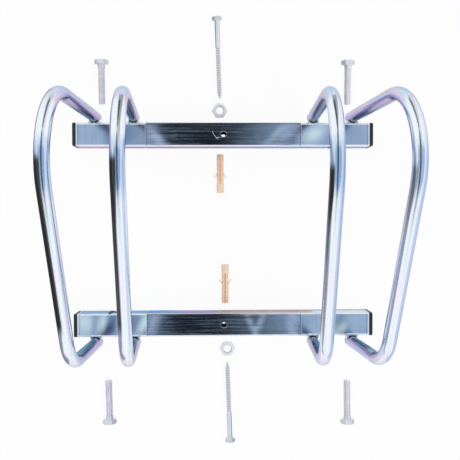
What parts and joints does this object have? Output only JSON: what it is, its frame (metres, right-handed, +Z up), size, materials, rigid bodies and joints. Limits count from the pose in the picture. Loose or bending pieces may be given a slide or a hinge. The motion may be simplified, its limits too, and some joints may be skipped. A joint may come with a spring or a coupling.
{
  "type": "bike rack",
  "caption": "Floor rack for bicycle wheels: two parallel square rails with pairs of bent tube hoops welded to sliding end sleeves, with its bolts, screws, nuts and wall plugs laid out around it.",
  "frame": {"origin": "middle of the rack on the floor it stands on", "axes": "+X along the rails towards the right-hand hoops, +Y across the rails towards the rail with the taller legs, +Z up"},
  "size_m": [0.412, 0.6019, 0.2599],
  "materials": {
    "zinc_sleeve": "bright blue passivated zinc plating with faint streaks along the tube",
    "zinc_hoop": "bright blue passivated zinc plating on round tube, smooth and reflective",
    "dark_tube": "darker drawn steel tube, zinc plated, with long fine streaks",
    "weld_bead": "rippled weld bead, plated with the rest",
    "cap_plastic": "moulded black plastic, fine matte grain",
    "fastener_zinc": "zinc plated threaded hardware, slightly dull",
    "plug_nylon": "moulded beige nylon, slightly waxy"
  },
  "bodies": {
    "rails": {"upper_connecting_tube": "dark_tube", "lower_connecting_tube": "dark_tube", "left_upper_bolt": "fastener_zinc", "left_lower_bolt": "fastener_zinc", "right_upper_bolt": "fastener_zinc", "right_lower_bolt": "fastener_zinc", "upper_lag_screw": "fastener_zinc", "lower_lag_screw": "fastener_zinc", "upper_nut": "fastener_zinc", "lower_nut": "fastener_zinc", "upper_wall_plug": "plug_nylon", "lower_wall_plug": "plug_nylon"},
    "left_module": {"left_upper_sleeve": "zinc_sleeve", "left_lower_sleeve": "zinc_sleeve", "left_upper_end_cap": "cap_plastic", "left_lower_end_cap": "cap_plastic", "left_outer_hoop": "zinc_hoop", "left_inner_hoop": "zinc_hoop", "left_upper_welds": "weld_bead", "left_lower_welds": "weld_bead"},
    "right_module": {"right_upper_sleeve": "zinc_sleeve", "right_lower_sleeve": "zinc_sleeve", "right_upper_end_cap": "cap_plastic", "right_lower_end_cap": "cap_plastic", "right_inner_hoop": "zinc_hoop", "right_outer_hoop": "zinc_hoop", "right_upper_welds": "weld_bead", "right_lower_welds": "weld_bead"}
  },
  "joints": [
    {"name": "left_slide", "type": "slide", "parent": "rails", "child": "left_module", "axis": [-1, 0, 0], "range_m": [0, 0.045]},
    {"name": "right_slide", "type": "slide", "parent": "rails", "child": "right_module", "axis": [1, 0, 0], "range_m": [0, 0.045]}
  ]
}
